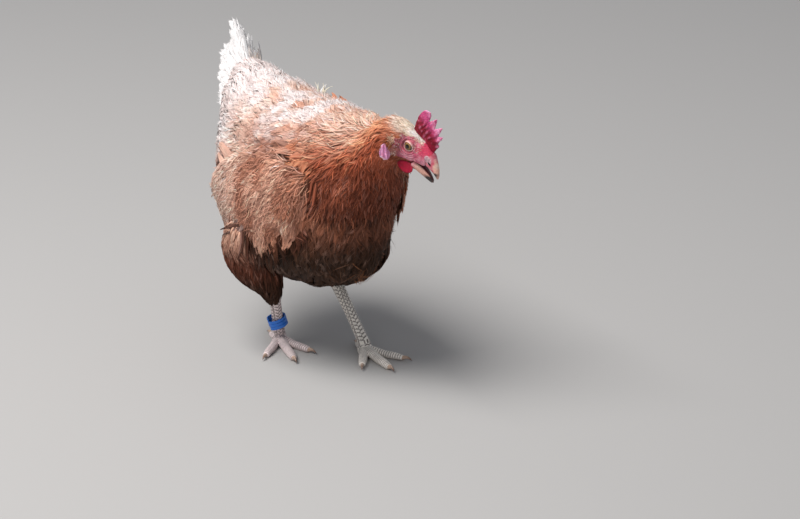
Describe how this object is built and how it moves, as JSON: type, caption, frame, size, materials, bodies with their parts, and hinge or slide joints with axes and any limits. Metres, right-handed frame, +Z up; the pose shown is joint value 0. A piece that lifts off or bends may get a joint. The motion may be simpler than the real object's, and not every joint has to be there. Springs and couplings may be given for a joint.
{
  "type": "laying hen",
  "caption": "Brown laying hen walking with lowered head turned to its left, single comb, pale tail, and a loose spiral leg ring.",
  "frame": {"origin": "centre of the hen's bounding box, at the floor that the feet stand on", "axes": "+Z up, -Y the way the body faces, +X to the hen's left"},
  "size_m": [0.171, 0.3928, 0.3216],
  "materials": {
    "breast_plumage": "matt rufous feathers",
    "back_plumage": "matt ginger-buff feathers with pale edges",
    "tail_plumage": "matt cream feathers",
    "face_skin": "bare folded skin, satin",
    "comb_skin": "papillate skin, satin",
    "lobe_skin": "smooth thin skin, satin",
    "beak_horn": "pale horn with dark patches, satin",
    "eye_iris": "wet and glossy",
    "leg_scales": "pale plates with dark grooves, satin",
    "claw_horn": "worn horn, satin",
    "ring_plastic": "coloured plastic, satin gloss"
  },
  "bodies": {
    "root": {"beak_lower": "beak_horn", "beak_upper": "beak_horn", "claw_hind_left": "claw_horn", "claw_hind_right": "claw_horn", "claw_inner_left": "claw_horn", "claw_inner_right": "claw_horn", "claw_middle_left": "claw_horn", "claw_middle_right": "claw_horn", "claw_outer_left": "claw_horn", "claw_outer_right": "claw_horn", "comb": "comb_skin", "ear_lobe_left": "lobe_skin", "ear_lobe_right": "lobe_skin", "eye_left": "eye_iris", "eye_right": "eye_iris", "foot_left": "leg_scales", "foot_right": "leg_scales", "head": "face_skin", "leg_ring": "ring_plastic", "neck": "breast_plumage", "shank_left": "leg_scales", "shank_right": "leg_scales", "tail": "tail_plumage", "thigh_left": "breast_plumage", "thigh_right": "breast_plumage", "toe_hind_left": "leg_scales", "toe_hind_right": "leg_scales", "toe_inner_left": "leg_scales", "toe_inner_right": "leg_scales", "toe_middle_left": "leg_scales", "toe_middle_right": "leg_scales", "toe_outer_left": "leg_scales", "toe_outer_right": "leg_scales", "trunk": "breast_plumage", "wattle_left": "comb_skin", "wattle_right": "comb_skin", "wing_left": "back_plumage", "wing_right": "back_plumage"}
  },
  "joints": []
}
